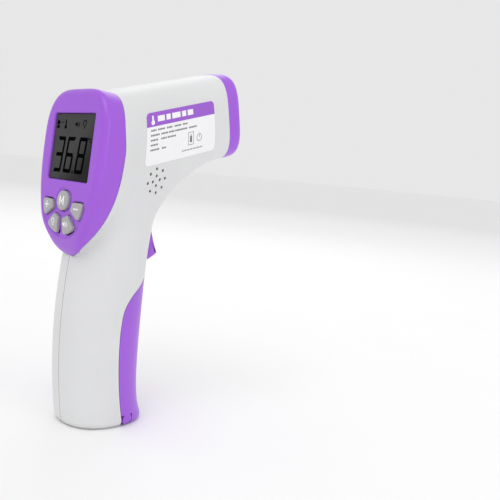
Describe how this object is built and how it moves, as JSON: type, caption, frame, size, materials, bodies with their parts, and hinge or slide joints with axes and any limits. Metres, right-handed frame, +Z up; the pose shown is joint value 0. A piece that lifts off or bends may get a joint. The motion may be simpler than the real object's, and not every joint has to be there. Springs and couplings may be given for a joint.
{
  "type": "infrared forehead thermometer",
  "caption": "Pistol-grip digital thermometer: barrel with tilted display and keys, sensing nose, trigger, and a hinged battery cover.",
  "frame": {"origin": "middle of the grip's flat base, on the seam between the two shell halves", "axes": "+Z up along the grip, nose towards +Y, display towards -Y, +X to the right side that carries the speaker holes"},
  "size_m": [0.044, 0.092, 0.1594],
  "materials": {
    "white_abs": "satin moulded ABS with a fine even grain",
    "purple_abs": "semi-gloss moulded ABS",
    "grey_keys": "satin keys with printed white signs",
    "label_film": "printed film with a purple heading band",
    "display_lens": "clear polished lens over a dark display",
    "display_glass": "polished glass",
    "diffuser": "milky moulded plastic",
    "led_epoxy": "clear yellow epoxy",
    "silicone_strip": "banded silicone",
    "circuit_board": "green solder mask",
    "black_epoxy": "moulded epoxy",
    "black_abs": "fine grained black ABS",
    "inner_abs": "plain moulded ABS",
    "steel": "zinc plated and bright",
    "gilt": "polished gilt plating",
    "foam": "closed cell foam",
    "wire_cover": "soft PVC covering",
    "cell_wrap": "printed shrink film"
  },
  "bodies": {
    "root": {"left_shell": "white_abs", "right_shell": "white_abs", "shell_screws": "steel", "side_label": "label_film", "face_bezel": "purple_abs", "lcd_window": "display_lens", "lcd_panel": "display_glass", "backlight_diffuser": "diffuser", "backlight_leds": "led_epoxy", "zebra_strips": "silicone_strip", "main_board": "circuit_board", "board_chips": "black_epoxy", "key_switches": "steel", "board_screws": "steel", "nose_ring": "purple_abs", "sensor_hood": "black_abs", "waveguide": "gilt", "thermopile_sensor": "steel", "sensor_board": "circuit_board", "sensor_holder": "inner_abs", "sensor_cable": "wire_cover", "speaker": "black_abs", "speaker_gasket": "foam", "speaker_wires": "wire_cover", "trigger_pin": "steel", "trigger_spring": "steel", "trigger_switch": "black_abs", "trigger_board": "circuit_board", "trigger_wires": "wire_cover", "battery_tray": "inner_abs", "battery_left": "cell_wrap", "battery_right": "cell_wrap", "battery_springs": "steel", "battery_contacts": "steel", "battery_wires": "wire_cover", "cover_pin": "steel"},
    "trigger": {"trigger": "purple_abs"},
    "battery_cover": {"battery_cover": "purple_abs"},
    "mode_button": {"mode_button": "grey_keys"},
    "plus_button": {"plus_button": "grey_keys"},
    "minus_button": {"minus_button": "grey_keys"},
    "light_button": {"light_button": "grey_keys"},
    "sound_button": {"sound_button": "grey_keys"}
  },
  "joints": [
    {"name": "trigger_pull", "type": "hinge", "parent": "root", "child": "trigger", "pos_m": [0, 0.0106, 0.0854], "axis": [-1, 0, 0], "range_deg": [0, 8], "stiffness_Nm_per_rad": 0.08},
    {"name": "cover_hinge", "type": "hinge", "parent": "root", "child": "battery_cover", "pos_m": [0, 0.005, 0.003], "axis": [-1, 0, 0], "range_deg": [0, 85]},
    {"name": "mode_press", "type": "slide", "parent": "root", "child": "mode_button", "axis": [0, 0.9987, -0.0506], "range_m": [0, 0.0005], "stiffness_N_per_m": 600},
    {"name": "plus_press", "type": "slide", "parent": "root", "child": "plus_button", "axis": [0, 0.9987, -0.0506], "range_m": [0, 0.0005], "stiffness_N_per_m": 600},
    {"name": "minus_press", "type": "slide", "parent": "root", "child": "minus_button", "axis": [0, 0.9987, -0.0506], "range_m": [0, 0.0005], "stiffness_N_per_m": 600},
    {"name": "light_press", "type": "slide", "parent": "root", "child": "light_button", "axis": [0, 0.9987, -0.0506], "range_m": [0, 0.0005], "stiffness_N_per_m": 600},
    {"name": "sound_press", "type": "slide", "parent": "root", "child": "sound_button", "axis": [0, 0.9987, -0.0506], "range_m": [0, 0.0005], "stiffness_N_per_m": 600}
  ]
}
